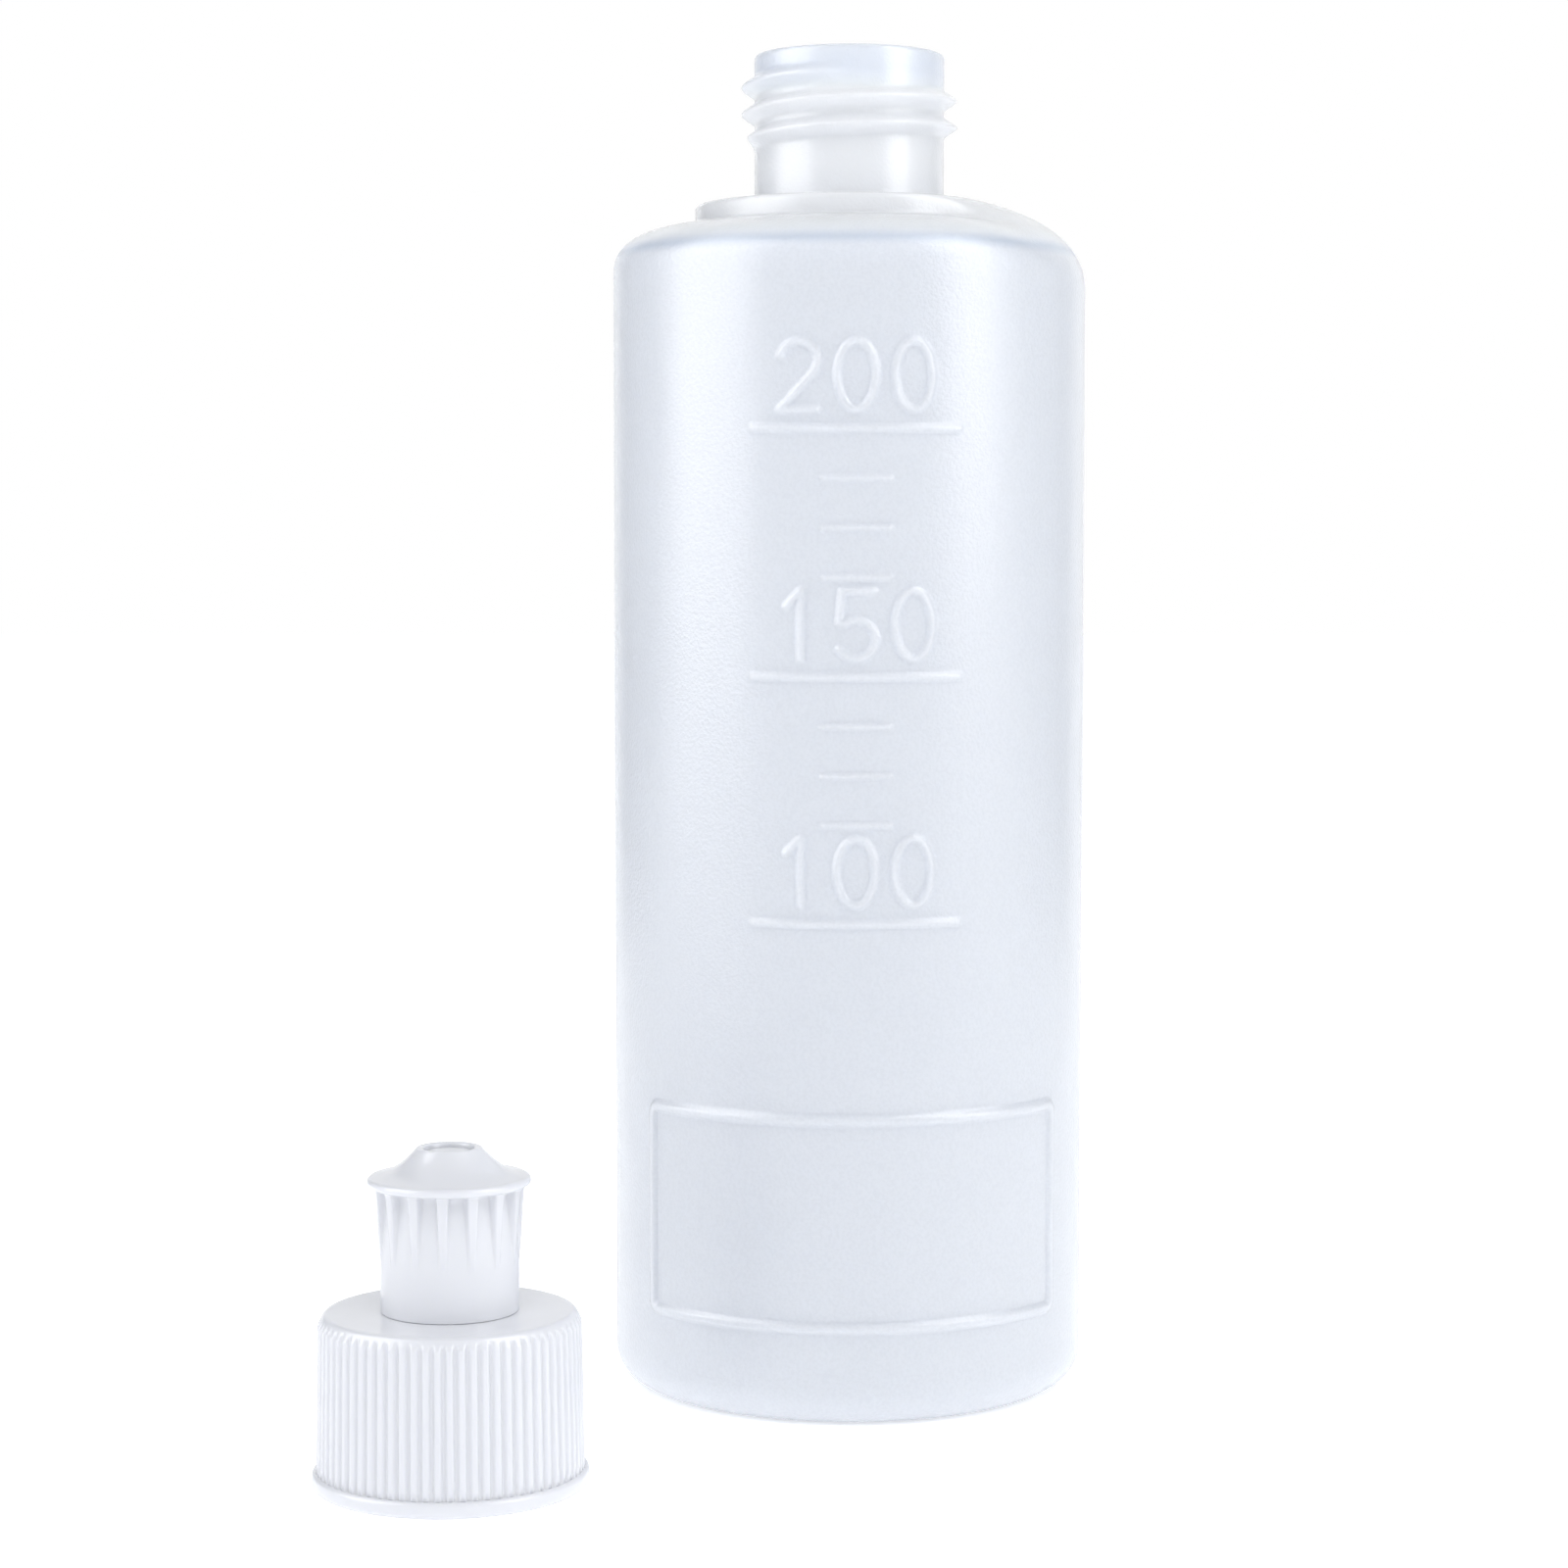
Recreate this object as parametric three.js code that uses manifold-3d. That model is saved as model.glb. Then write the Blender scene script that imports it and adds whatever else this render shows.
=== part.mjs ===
// A squeeze bottle for perineal care, standing open, with its push-pull cap set down in front of it.
// Millimetres, +Z up. The origin is on the floor, under the middle of the pair.

import * as THREE from "three";
import { mergeVertices } from "three/addons/utils/BufferGeometryUtils.js";
import Module from "manifold-3d";

const wasm = await Module();
wasm.setup();

const degree = Math.PI / 180;

// Bottle body
const bodyRadius = 25.9;
const bodyWall = 1;
const bottleHeight = 146.1;
const heelRadius = 4;
const standRingWidth = 3;
const pushUpHeight = 1.6;
const pushUpFlatShare = 0.75;
const shoulderDrop = 5.15;
const shoulderFall = 0.55;
const collarRadius = 16.9;
const collarHeight = 2.25;
const collarEdge = 0.6;

// On its right side the shoulder is rounder and rises to the top of the collar, which fades into it
const rampSide = 90 * degree;
const rampFull = 28 * degree;
const rampEnd = 60 * degree;
const rampRadius = 15.5;
const rampFall = 2.8;
const rampDrop = 9.3;

// Bottle neck and its thread, a right-hand single start
const neckHeight = 16.3;
const neckRadius = 10.4;
const neckWall = 1.7;
const mouthEdge = 0.4;
const threadCrestRadius = 11.87;
const threadPitch = 2.9;
const threadTurns = 2.3;
const threadBelowMouth = 2.75;
const threadRootWidth = 2.2;
const threadCrestWidth = 0.5;
const threadRunOut = 40 * degree;
const threadStart = 4 * degree;

// Raised frame of the name panel, wrapped round the front of the body
const panelCentre = 0.7 * degree;
const panelArc = 51.4;
const panelBottom = 10.1;
const panelHeight = 23.3;
const panelLine = 1.3;
const panelRelief = 0.4;

// Where the cap stands, measured from the axis of the bottle
const capOffsetX = -40.2;
const capOffsetY = -45.7;

// Screw cap
const capHeight = 17.3;
const deckThickness = 1.5;
const deckEdge = 0.7;
const deckBevel = 0.2;
const flangeRadius = 13.72;
const flangeHeight = 1.6;
const flangeEdge = 0.45;
const skirtBottomRadius = 13.28;
const skirtTopRadius = 13.02;
const skirtRibs = 70;
const skirtRibRelief = 0.35;
const skirtRibShare = 0.58;
const capThreadTurns = 2;
const threadClearance = 0.25;
const sealRingLength = 2;
const sealRingWall = 0.8;
const sealClearance = 0.3;

// Tower of the cap, which the spout slides on, with the plug that closes the spout
const towerRadius = 4.7;
const towerWall = 1;
const towerBeadRelief = 0.5;
const towerBeadHeight = 1.2;
const towerBeadRamp = 0.3;
const towerBeadTaper = 0.6;
const towerLip = 0.6;
const towerLipTaper = 0.25;
const plugStemRadius = 1.3;
const plugLength = 1.9;
const plugRecess = 0.4;
const webCount = 3;
const webThickness = 0.8;
const webHeight = 3.5;

// Pull spout, pushed down and closed
const slideClearance = 0.3;
const spoutTravel = 5;
const spoutHeight = 16;
const barrelRadius = 6.85;
const spoutBeadHeight = 1.2;
const spoutBeadRamp = 0.4;
const brimRadius = 8.07;
const brimLine = 12.7;
const brimThickness = 0.9;
const brimFlare = 1;
const crownCurveRadius = 5.4;
const crownCurveRise = 0.25;
const tipRadius = 3.2;
const orificeRadius = 2.5;
const orificeLength = 2.5;
const crownDepth = 2.3;
const spoutRibs = 15;
const spoutRibRelief = 0.55;
const spoutRibLength = 8;
const spoutRibWidth = 1.2;
const spoutRibSink = 0.1;

// How far a joined feature is rooted in its wall, and how far a cutter passes a face
const rootDepth = 0.4;
const cutterPass = 1;

// Facets
const bodyFacets = 48;
const capFacets = 48;
const curveSteps = 3;
const shoulderSteps = 4;
const panelSteps = 12;
const plugFacets = 24;
const threadStepsPerTurn = 32;

const natural = new THREE.MeshStandardMaterial({
  color: "#d3dae2", roughness: 0.42, metalness: 0, transparent: true, opacity: 0.85,
});
const white = new THREE.MeshStandardMaterial({ color: "#f1f1f6", roughness: 0.3, metalness: 0 });

// Levels that several features share
const collarTop = bottleHeight - neckHeight;
const collarBase = collarTop - collarHeight;
const straightTop = collarBase - shoulderDrop;
const floorTop = pushUpHeight + bodyWall;
const neckBore = neckRadius - neckWall;
const threadRootRadius = neckRadius - rootDepth;
const capCeiling = capHeight - deckThickness;
const capThreadBore = threadCrestRadius + threadClearance;
const spoutBottom = capHeight + slideClearance;
const spoutBore = towerRadius + towerBeadRelief + slideClearance;
const spoutBeadBore = towerRadius + slideClearance;
const towerBeadBottom = spoutBottom + spoutBeadHeight + spoutTravel + slideClearance;
const towerTop = towerBeadBottom + towerBeadHeight + towerLip;
const towerBore = towerRadius - towerWall;

// A closed geometry, with its shared vertices merged and flat triangles dropped, as a solid
function solidOf(geometry) {
  const bare = geometry.index ? geometry.clone() : geometry;
  bare.deleteAttribute("normal");
  bare.deleteAttribute("uv");
  const merged = mergeVertices(bare);
  const corners = [];
  for (let i = 0; i < merged.index.count; i += 3) {
    const [a, b, c] = [0, 1, 2].map((k) => merged.index.getX(i + k));
    if (a !== b && b !== c && c !== a) corners.push(a, b, c);
  }
  const vertProperties = new Float32Array(merged.attributes.position.array);
  const triVerts = new Uint32Array(corners);
  return new wasm.Manifold(new wasm.Mesh({ numProp: 3, vertProperties, triVerts }));
}

// A profile of radius and height, turned round the Z axis from the front
function revolve(profile, facets) {
  return solidOf(new THREE.LatheGeometry(profile, facets).rotateX(90 * degree));
}

// A skin over rings of equally many points, closed at both ends from the middle of the end ring
function loft(rings) {
  const count = rings[0].length;
  const points = rings.flat();
  const corners = [];
  for (let start = 0; start < points.length - count; start += count) {
    for (let i = 0; i < count; i++) {
      const [a, b] = [start + i, start + ((i + 1) % count)];
      corners.push(a, b, b + count, a, b + count, a + count);
    }
  }
  const last = points.length - count;
  for (let i = 0; i < count; i++) {
    const next = (i + 1) % count;
    corners.push(points.length, next, i, points.length + 1, last + i, last + next);
  }
  for (const ring of [rings[0], rings.at(-1)]) {
    const middle = new THREE.Vector3();
    ring.forEach((point) => middle.add(point));
    points.push(middle.divideScalar(count));
  }
  const geometry = new THREE.BufferGeometry().setFromPoints(points);
  return solidOf(geometry.setIndex(corners));
}

function polar(radius, angle, height) {
  return new THREE.Vector3(radius * Math.sin(angle), -radius * Math.cos(angle), height);
}

function meshOf(name, solid, material) {
  const { vertProperties, triVerts } = solid.getMesh();
  const geometry = new THREE.BufferGeometry();
  geometry.setAttribute("position", new THREE.BufferAttribute(vertProperties, 3));
  geometry.setIndex(new THREE.BufferAttribute(triVerts, 1));
  geometry.computeVertexNormals();
  const mesh = new THREE.Mesh(geometry, material);
  mesh.name = name;
  return mesh;
}

// A helical ridge that climbs to the right and sinks into its wall at both ends.
// wall and crest are its radii, top is the height of its upper end.
function threadRidge({ wall, crest, turns, top }) {
  const steps = Math.round(turns * threadStepsPerTurn);
  const stepAngle = (2 * Math.PI) / threadStepsPerTurn;
  const rings = [];
  for (let step = 0; step <= steps; step++) {
    const back = (steps - step) * stepAngle;
    const fromEnd = Math.min(back, step * stepAngle);
    const rise = Math.min(1, fromEnd / threadRunOut);
    const reach = wall + (crest - wall) * rise;
    const height = top - (threadPitch * back) / (2 * Math.PI);
    const angle = threadStart - back;
    rings.push([
      polar(wall, angle, height - threadRootWidth / 2),
      polar(reach, angle, height - threadCrestWidth / 2),
      polar(reach, angle, height + threadCrestWidth / 2),
      polar(wall, angle, height + threadRootWidth / 2),
    ]);
  }
  if (crest > wall) rings.forEach((ring) => ring.reverse());
  return loft(rings);
}

// A block between two radii, bent round the Z axis over an angle on each side of the panel's middle
function bentBlock(inner, outer, halfAngle, bottom, height) {
  const middle = panelCentre - 90 * degree;
  const shape = new THREE.Shape();
  shape.absarc(0, 0, outer, middle - halfAngle, middle + halfAngle, false);
  shape.absarc(0, 0, inner, middle + halfAngle, middle - halfAngle, true);
  const facets = { depth: height, bevelEnabled: false, curveSegments: panelSteps };
  return solidOf(new THREE.ExtrudeGeometry(shape, facets).translate(0, 0, bottom));
}

// From the middle of the base, over the stand ring and the heel, to the foot of the wall
function baseLine() {
  const standOuter = bodyRadius - heelRadius;
  const standInner = standOuter - standRingWidth;
  const line = new THREE.Path();
  line.moveTo(0, pushUpHeight);
  line.quadraticCurveTo(standInner * pushUpFlatShare, pushUpHeight, standInner, 0);
  line.lineTo(standOuter, 0);
  line.absarc(standOuter, heelRadius, heelRadius, -90 * degree, 0, false);
  return line.getPoints(curveSteps);
}

// From the foot of the neck down to the wall: over the collar, and over the ramp beside it.
// Both lines hold equally many points, so that one can run into the other round the bottle.
function shoulderLines() {
  const overCollar = new THREE.Path();
  overCollar.moveTo(neckRadius, collarTop);
  overCollar.lineTo(collarRadius - collarEdge, collarTop);
  overCollar.lineTo(collarRadius, collarTop - collarEdge);
  overCollar.lineTo(collarRadius, collarBase);
  overCollar.quadraticCurveTo(bodyRadius, collarBase - shoulderFall, bodyRadius, straightTop);
  const collarLine = overCollar.getPoints(shoulderSteps);
  const overRamp = new THREE.Path();
  overRamp.moveTo(neckRadius, collarTop);
  overRamp.lineTo(rampRadius, collarTop);
  overRamp.quadraticCurveTo(bodyRadius, collarTop - rampFall, bodyRadius, collarTop - rampDrop);
  const rampLine = overRamp.getPoints(collarLine.length - 2);
  return { collarLine, rampLine };
}

// 1 where the ramp is full, 0 where the collar stands out
function rampShare(angle) {
  const turn = THREE.MathUtils.euclideanModulo(angle - rampSide + Math.PI, 2 * Math.PI);
  return 1 - THREE.MathUtils.smoothstep(Math.abs(turn - Math.PI), rampFull, rampEnd);
}

// From the foot of the neck over the mouth, and down the inside to the middle of the floor
function neckAndInsideLine() {
  const innerRadius = bodyRadius - bodyWall;
  const innerHeel = heelRadius - bodyWall;
  const innerShoulder = collarBase - bodyWall;
  const standInner = bodyRadius - heelRadius - standRingWidth;
  const line = new THREE.Path();
  line.moveTo(neckRadius, bottleHeight - mouthEdge);
  line.lineTo(neckRadius - mouthEdge, bottleHeight);
  line.lineTo(neckBore, bottleHeight);
  line.lineTo(neckBore, innerShoulder);
  line.quadraticCurveTo(innerRadius, innerShoulder - shoulderFall, innerRadius, straightTop - bodyWall);
  line.lineTo(innerRadius, heelRadius);
  line.quadraticCurveTo(innerRadius, bodyWall, innerRadius - innerHeel, bodyWall);
  line.lineTo(standInner, bodyWall);
  line.quadraticCurveTo(standInner * pushUpFlatShare, floorTop, 0, floorTop);
  return line.getPoints(curveSteps);
}

function bottleShell() {
  const { collarLine, rampLine } = shoulderLines();
  const angles = Array.from({ length: bodyFacets }, (_, i) => (i * 2 * Math.PI) / bodyFacets);
  const turned = (point) => angles.map((angle) => polar(point.x, angle, point.y));
  const shared = (point, i) => angles.map((angle) => {
    const { x, y } = point.clone().lerp(rampLine[i], rampShare(angle));
    return polar(x, angle, y);
  });
  const base = baseLine().map(turned);
  const shoulder = collarLine.map(shared).reverse();
  return loft([...base, ...shoulder, ...neckAndInsideLine().map(turned)]);
}

function neckThread() {
  return threadRidge({
    wall: threadRootRadius,
    crest: threadCrestRadius,
    turns: threadTurns,
    top: bottleHeight - threadBelowMouth,
  });
}

function panelFrame() {
  const halfAngle = panelArc / 2 / bodyRadius;
  const lineAngle = panelLine / bodyRadius;
  const raised = bodyRadius + panelRelief;
  const rooted = bodyRadius - rootDepth;
  const plate = bentBlock(rooted, raised, halfAngle, panelBottom, panelHeight);
  const window = bentBlock(
    rooted - cutterPass, raised + cutterPass, halfAngle - lineAngle,
    panelBottom + panelLine, panelHeight - 2 * panelLine,
  );
  return plate.subtract(window);
}

function bottle() {
  return meshOf("bottle", bottleShell().add(neckThread()).add(panelFrame()), natural);
}

// One level of the ribbed skirt. Each rib has a foot on both sides and a flat crest.
function skirtRing(footRadius, relief, height) {
  const ring = [];
  const pitch = (2 * Math.PI) / skirtRibs;
  const foot = (pitch * skirtRibShare) / 2;
  const crest = foot / 2;
  for (let rib = 0; rib < skirtRibs; rib++) {
    const angle = rib * pitch;
    ring.push(
      polar(footRadius, angle - foot, height),
      polar(footRadius + relief, angle - crest, height),
      polar(footRadius + relief, angle + crest, height),
      polar(footRadius, angle + foot, height),
    );
  }
  return ring;
}

// The ribs run from the flange up to the rounded edge of the deck, where they fade out
function capSkirt() {
  const bottomFoot = skirtBottomRadius - skirtRibRelief;
  const topFoot = skirtTopRadius - skirtRibRelief;
  return loft([
    skirtRing(bottomFoot, skirtRibRelief, flangeHeight - rootDepth),
    skirtRing(topFoot, skirtRibRelief, capHeight - deckEdge),
    skirtRing(topFoot - deckBevel, 0, capHeight - deckBevel),
    skirtRing(topFoot - deckEdge, 0, capHeight),
  ]);
}

function capFlange() {
  const profile = new THREE.Path();
  const flat = flangeRadius - flangeEdge;
  profile.moveTo(0, 0);
  profile.lineTo(flat, 0);
  profile.quadraticCurveTo(flangeRadius, 0, flangeRadius, flangeEdge);
  profile.lineTo(flangeRadius, flangeHeight - flangeEdge);
  profile.quadraticCurveTo(flangeRadius, flangeHeight, flat, flangeHeight);
  profile.lineTo(0, flangeHeight);
  return revolve(profile.getPoints(curveSteps), capFacets);
}

// The outside of the tower, with the bead that stops the spout when it is pulled up
function capTower() {
  const bead = towerRadius + towerBeadRelief;
  const beadTop = towerBeadBottom + towerBeadHeight;
  const profile = [
    [0, capHeight - rootDepth],
    [towerRadius, capHeight - rootDepth],
    [towerRadius, towerBeadBottom],
    [bead, towerBeadBottom + towerBeadRamp],
    [bead, beadTop - towerBeadTaper],
    [towerRadius, beadTop],
    [towerRadius - towerLipTaper, towerTop],
    [0, towerTop],
  ];
  return revolve(profile.map(([r, z]) => new THREE.Vector2(r, z)), capFacets);
}

// All the room inside the cap: the threaded socket, the seal ring's seat and the bore of the tower
function capRoom() {
  const sealOuter = neckBore - sealClearance;
  const sealInner = sealOuter - sealRingWall;
  const sealBottom = capCeiling - sealRingLength;
  const profile = [
    [0, -cutterPass],
    [capThreadBore, -cutterPass],
    [capThreadBore, capCeiling],
    [sealOuter, capCeiling],
    [sealOuter, sealBottom],
    [sealInner, sealBottom],
    [sealInner, capCeiling],
    [towerBore, capCeiling],
    [towerBore, towerTop + cutterPass],
    [0, towerTop + cutterPass],
  ];
  return revolve(profile.map(([r, z]) => new THREE.Vector2(r, z)), capFacets);
}

// The socket's thread lies half a pitch below the neck's when the mouth meets the ceiling
function capThread() {
  return threadRidge({
    wall: capThreadBore + rootDepth,
    crest: neckRadius + threadClearance,
    turns: capThreadTurns,
    top: capCeiling - threadBelowMouth - threadPitch / 2,
  });
}

// The plug on its stem, and the webs that carry it and let the water past
function capPlug() {
  const plugRadius = orificeRadius - slideClearance;
  const plugTop = spoutBottom + spoutHeight - plugRecess;
  const plugBottom = plugTop - plugLength;
  const webBottom = towerTop - webHeight;
  const profile = [
    [0, webBottom - rootDepth],
    [plugStemRadius, webBottom - rootDepth],
    [plugStemRadius, plugBottom - (plugRadius - plugStemRadius)],
    [plugRadius, plugBottom],
    [plugRadius, plugTop],
    [0, plugTop],
  ];
  let plug = revolve(profile.map(([r, z]) => new THREE.Vector2(r, z)), plugFacets);
  const reach = towerRadius - rootDepth;
  for (let web = 0; web < webCount; web++) {
    const blade = new THREE.BoxGeometry(reach, webThickness, webHeight - towerLip);
    blade.translate(reach / 2, 0, webBottom + (webHeight - towerLip) / 2);
    blade.rotateZ((web * 2 * Math.PI) / webCount);
    plug = plug.add(solidOf(blade));
  }
  return plug;
}

function screwCap() {
  const outside = capSkirt().add(capFlange()).add(capTower());
  return meshOf("screw_cap", outside.subtract(capRoom()).add(capThread()).add(capPlug()), white);
}

function spoutShell() {
  const rim = brimThickness / 2;
  const rimCentre = brimRadius - rim;
  const bottomOfRim = brimLine - rim;
  const topOfRim = brimLine + rim;
  const orificeBottom = spoutHeight - orificeLength;
  const crownBottom = orificeBottom - crownDepth;
  const profile = new THREE.Path();
  profile.moveTo(spoutBeadBore, 0);
  profile.lineTo(barrelRadius, 0);
  profile.lineTo(barrelRadius, bottomOfRim - brimFlare);
  profile.quadraticCurveTo(barrelRadius, bottomOfRim, rimCentre, bottomOfRim);
  profile.absarc(rimCentre, brimLine, rim, -90 * degree, 90 * degree, false);
  profile.quadraticCurveTo(crownCurveRadius, topOfRim + crownCurveRise, tipRadius, spoutHeight);
  profile.lineTo(orificeRadius, spoutHeight);
  profile.lineTo(orificeRadius, orificeBottom);
  profile.lineTo(spoutBore, crownBottom);
  profile.lineTo(spoutBore, spoutBeadHeight + spoutBeadRamp);
  profile.lineTo(spoutBeadBore, spoutBeadHeight);
  profile.lineTo(spoutBeadBore, 0);
  return revolve(profile.getPoints(curveSteps), capFacets);
}

// One grip rib: it rises out of the barrel and stands out most where it meets the brim
function spoutRib() {
  const start = brimLine - spoutRibLength;
  const side = new THREE.Shape();
  side.moveTo(barrelRadius - rootDepth, start);
  side.lineTo(barrelRadius - spoutRibSink, start);
  side.lineTo(barrelRadius + spoutRibRelief, brimLine);
  side.lineTo(barrelRadius - rootDepth, brimLine);
  const blade = new THREE.ExtrudeGeometry(side, { depth: spoutRibWidth, bevelEnabled: false });
  blade.translate(0, 0, -spoutRibWidth / 2);
  return blade.rotateX(90 * degree);
}

function pullSpout() {
  let spout = spoutShell();
  for (let rib = 0; rib < spoutRibs; rib++) {
    const turn = (rib * 2 * Math.PI) / spoutRibs - 90 * degree;
    spout = spout.add(solidOf(spoutRib().rotateZ(turn)));
  }
  return meshOf("pull_spout", spout, white);
}

const cap = new THREE.Group();
const spout = pullSpout();
spout.position.z = spoutBottom;
cap.add(screwCap(), spout);
cap.position.set(capOffsetX, capOffsetY, 0);

const periBottle = new THREE.Group();
periBottle.add(bottle(), cap);
periBottle.position.set(
  -(bodyRadius + capOffsetX - flangeRadius) / 2,
  -(bodyRadius + capOffsetY - flangeRadius) / 2,
  0,
);

const part = new THREE.Group();
part.add(periBottle);

export default part;
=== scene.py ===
# A squeeze bottle for perineal care, standing open beside its push-pull cap.
# The dictionaries hold real sizes in millimetres; everything in Blender is in metres.

import math

import bmesh
import bpy
import numpy as np
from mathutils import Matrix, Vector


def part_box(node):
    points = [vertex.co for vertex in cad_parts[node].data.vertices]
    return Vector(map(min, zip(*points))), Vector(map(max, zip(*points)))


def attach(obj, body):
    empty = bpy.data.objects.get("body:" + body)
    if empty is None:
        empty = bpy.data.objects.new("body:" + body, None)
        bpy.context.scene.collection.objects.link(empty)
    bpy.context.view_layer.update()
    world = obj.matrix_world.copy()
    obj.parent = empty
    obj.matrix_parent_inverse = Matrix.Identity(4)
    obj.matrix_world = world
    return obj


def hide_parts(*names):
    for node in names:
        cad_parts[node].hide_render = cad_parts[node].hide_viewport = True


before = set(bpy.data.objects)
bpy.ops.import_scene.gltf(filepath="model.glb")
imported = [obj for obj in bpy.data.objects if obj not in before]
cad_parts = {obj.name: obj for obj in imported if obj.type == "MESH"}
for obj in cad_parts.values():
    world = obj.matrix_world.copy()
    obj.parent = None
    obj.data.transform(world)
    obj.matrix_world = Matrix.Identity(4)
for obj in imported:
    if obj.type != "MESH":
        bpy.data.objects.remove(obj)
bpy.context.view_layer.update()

mm = 0.001
tolerance = 1e-6         # mm; heights closer than this are the same
near = 0.05              # mm; slack where rows are picked from an outline
mergeDistance = 1e-7     # metres; joins the points that meet on an axis
print("frame loaded:", ", ".join(sorted(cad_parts)))


def axisOf(node):
    # reliefs stand out in front, so the axis is half a width before the back of the box
    low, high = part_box(node)
    return (low[0] + high[0]) / 2, high[1] - (high[0] - low[0]) / 2


def linear(hexColour):
    # sRGB hex to the linear values that the shaders take
    channels = [int(hexColour[i:i + 2], 16) / 255 for i in (1, 3, 5)]
    return [c / 12.92 if c <= 0.04045 else ((c + 0.055) / 1.055) ** 2.4 for c in channels] + [1.0]


def addNode(tree, kind, settings=None, links=None):
    # one node: settings go to its properties or, by name or number, to its sockets
    node = tree.nodes.new(kind)
    for key, value in (settings or {}).items():
        if isinstance(key, str) and hasattr(node, key):
            setattr(node, key, value)
        else:
            node.inputs[key].default_value = value
    for key, source in (links or {}).items():
        tree.links.new(source, node.inputs[key])
    return node


# Outlines are lists of (radius, height) points in mm. straight takes the longest step that it may make,
# bend and arc take a number of steps.

def straight(start, end, step):
    count = max(1, math.ceil(math.dist(start, end) / step))
    return [(start[0] + (end[0] - start[0]) * i / count, start[1] + (end[1] - start[1]) * i / count)
            for i in range(1, count + 1)]


def arc(centre, radius, fromDegrees, toDegrees, count):
    turns = [math.radians(fromDegrees + (toDegrees - fromDegrees) * i / count) for i in range(count + 1)]
    return [(centre[0] + radius * math.cos(t), centre[1] + radius * math.sin(t)) for t in turns]


def bend(start, control, end, count):
    points = []
    for i in range(1, count + 1):
        t = i / count
        a, b, c = (1 - t) ** 2, 2 * t * (1 - t), t * t
        points.append((a * start[0] + b * control[0] + c * end[0],
                       a * start[1] + b * control[1] + c * end[1]))
    return points


def levels(low, high, coarse, fine, zones):
    # steps from low to high, closer together inside the zones that carry detail
    values = [low]
    while values[-1] < high - tolerance:
        here = values[-1]
        inside = any(a <= here < b for a, b in zones)
        ahead = [a for a, b in zones if a > here + tolerance]
        step = fine if inside else coarse
        stop = min([high] + ahead)
        values.append(min(here + step, stop))
    return values


def turnedMesh(name, centre, radii, heights, angles, closedLoop=False):
    # a surface turned round the vertical axis: rows follow the outline, columns go round it
    rows, columns = radii.shape
    x = centre[0] + radii * np.sin(angles)[None, :] * mm
    y = centre[1] - radii * np.cos(angles)[None, :] * mm
    z = np.broadcast_to(heights * mm, radii.shape)
    points = np.stack([x, y, z], axis=-1).reshape(-1, 3)
    lastRow = rows if closedLoop else rows - 1
    i, j = np.meshgrid(np.arange(lastRow), np.arange(columns), indexing="ij")
    nextRow, nextColumn = (i + 1) % rows, (j + 1) % columns
    quads = np.stack([i * columns + j, i * columns + nextColumn,
                      nextRow * columns + nextColumn, nextRow * columns + j], axis=-1).reshape(-1, 4)
    mesh = bpy.data.meshes.new(name)
    mesh.from_pydata(points.tolist(), [], quads.tolist())
    body = bmesh.new()
    body.from_mesh(mesh)
    bmesh.ops.remove_doubles(body, verts=body.verts, dist=mergeDistance)
    bmesh.ops.recalc_face_normals(body, faces=body.faces)
    body.to_mesh(mesh)
    body.free()
    mesh.shade_smooth()
    piece = bpy.data.objects.new(name, mesh)
    bpy.context.scene.collection.objects.link(piece)
    return piece


def smoothStep(value):
    t = np.clip(value, 0, 1)
    return t * t * (3 - 2 * t)


def ridge(distance, halfWidth, flank):
    # a flat-topped ridge with steep soft sides, 0 from halfWidth outwards
    return smoothStep((halfWidth - np.abs(distance)) / flank)


# Materials

noiseRange = (0.3, 0.7)    # a noise texture seldom leaves this range

bottlePlastic = {
    "colour": "#ebeef4",
    "pitShadeColour": "#e7eaf0",      # painted shade: the pits of the grain are drawn a little darker
    "pitShadeRange": (0.36, 0.6),     # share of the grain's height over which they fade
    "thickColour": "#f5f8ff",     # the neck and the shoulder's top have a thicker, whiter wall
    "thickFrom": (123.6, 126.4),  # heights between which it turns whiter, mm
    "lipColour": "#e6eaf1",       # the mouth's thinner lip is a little clearer again
    "lipFrom": (141.4, 143.6),
    "shadeLineColour": "#bfcbdb",      # painted shade: a soft dark line where the thick shoulder meets the thin wall
    "shadeLineHeight": 124.4,
    "shadeLineWidth": 1.7,
    "shadeLineCore": 0.1,              # its full strength reaches this far up and down, mm
    "shadeLineShare": 0.5,
    "roughness": 0.19,
    "ior": 1.51,
    "transmission": 0.3,
    "scatter": (1.2, 1.2, 1.2),   # how far light wanders in the wall, mm
    "pebble": 0.34,               # grain of the mould's blasted surface, mm
    "pebbleDepth": 0.05,
    "mottle": 9.0,                # patches where the wall cooled a little faster, mm
    "roughnessSpread": 0.06,
}


def patchyRoughness(tree, place, look, patch):
    # roughness that drifts a little from patch to patch, as handling and cooling leave it
    noise = addNode(tree, "ShaderNodeTexNoise", {"Scale": 1 / (patch * mm), "Detail": 3.0},
                    {"Vector": place.outputs["Object"]})
    half = look["roughnessSpread"] / 2
    rough = addNode(tree, "ShaderNodeMapRange", {
        "From Min": noiseRange[0], "From Max": noiseRange[1],
        "To Min": look["roughness"] - half, "To Max": look["roughness"] + half,
    }, {"Value": noise.outputs["Fac"]})
    return rough.outputs["Result"]


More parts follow.
